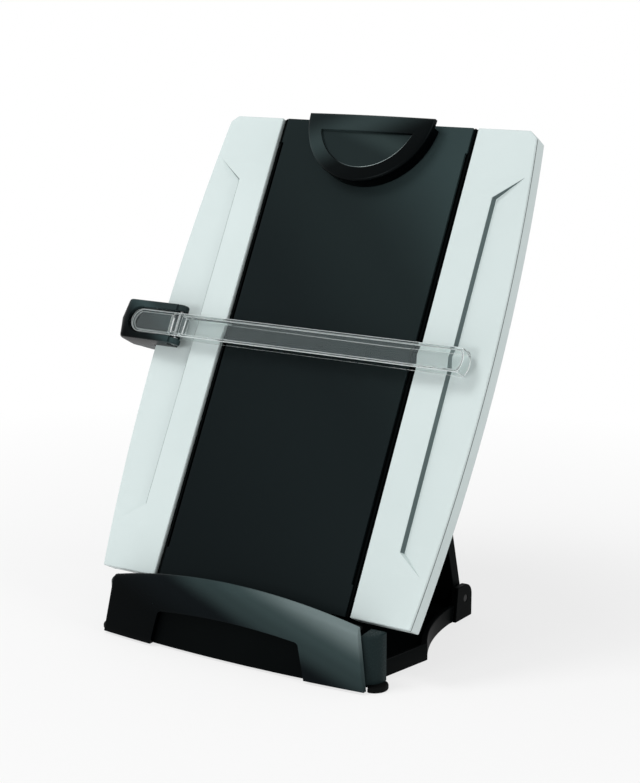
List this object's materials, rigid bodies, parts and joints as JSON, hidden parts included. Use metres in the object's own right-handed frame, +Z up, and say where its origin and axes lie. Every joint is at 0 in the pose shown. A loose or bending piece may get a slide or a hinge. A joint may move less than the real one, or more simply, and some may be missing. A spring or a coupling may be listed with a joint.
{
  "type": "copy holder with line guide",
  "caption": "Desktop easel for pages: leaning board in a low base, adjustable prop leg, sprung page clip and a clear line-guide bar on a slider.",
  "frame": {"origin": "on the table under the board's lower front edge, on the plane of symmetry of the base and board", "axes": "+Z up, +X to the right of the reader who faces the board, +Y away from the reader"},
  "size_m": [0.2974, 0.1997, 0.3473],
  "materials": {
    "silver": "pale silver satin lacquer on moulded plastic",
    "panel_black": "satin black sheet",
    "gloss_black": "polished black moulding",
    "base_black": "black moulded plastic",
    "shell_black": "black moulded plastic, fine grain",
    "rubber_black": "black rubber",
    "steel": "plain drawn steel",
    "felt": "dark felt",
    "clear": "clear polished acrylic"
  },
  "bodies": {
    "base": {"base_tray": "base_black", "front_fascia": "gloss_black", "recess_panel": "base_black", "paper_shelf": "base_black", "corner_post_left": "gloss_black", "corner_post_right": "gloss_black", "front_feet": "rubber_black", "rear_feet": "rubber_black", "tilt_pin_left": "steel", "tilt_pin_right": "steel", "leg_rod": "steel", "base_screws": "steel"},
    "board": {"board_shell": "shell_black", "centre_panel": "panel_black", "wing_left": "silver", "wing_right": "silver", "rack_rail_left": "shell_black", "rack_rail_right": "shell_black", "clip_mount": "shell_black", "clip_spring": "steel", "board_screws": "steel"},
    "leg": {"easel_leg": "shell_black", "leg_bar": "steel"},
    "clip": {"clip_jaw": "gloss_black", "clip_pin": "steel", "clip_pad": "rubber_black"},
    "slider": {"slider_front": "gloss_black", "slider_back": "gloss_black", "slider_shoe": "felt", "slider_pin": "steel", "slider_spring": "steel"},
    "bar": {"guide_bar": "clear"}
  },
  "joints": [
    {"name": "board_tilt", "type": "hinge", "parent": "base", "child": "board", "pos_m": [0, 0.00291, 0.03004], "axis": [-1, 0, 0], "range_deg": [-6, 12]},
    {"name": "leg_swing", "type": "hinge", "parent": "base", "child": "leg", "pos_m": [0, 0.141, 0.0145], "axis": [-1, 0, 0], "range_deg": [-9, 17.8]},
    {"name": "clip_open", "type": "hinge", "parent": "board", "child": "clip", "pos_m": [0, 0.15281, 0.33879], "axis": [-1, 0, 0], "range_deg": [0, 20], "stiffness_Nm_per_rad": 0.2, "springref_deg": -20.05},
    {"name": "guide_slide", "type": "slide", "parent": "board", "child": "slider", "axis": [0, 0.4679, 0.8838], "range_m": [-0.12, 0.095]},
    {"name": "bar_lift", "type": "hinge", "parent": "slider", "child": "bar", "pos_m": [-0.1134, 0.07547, 0.19914], "axis": [0, -0.4679, -0.8838], "range_deg": [0, 7], "stiffness_Nm_per_rad": 0.02, "springref_deg": -17.19}
  ],
  "couplings": [
    {"joint": "leg_swing", "follows": "board_tilt", "ratio": 1.4628}
  ]
}
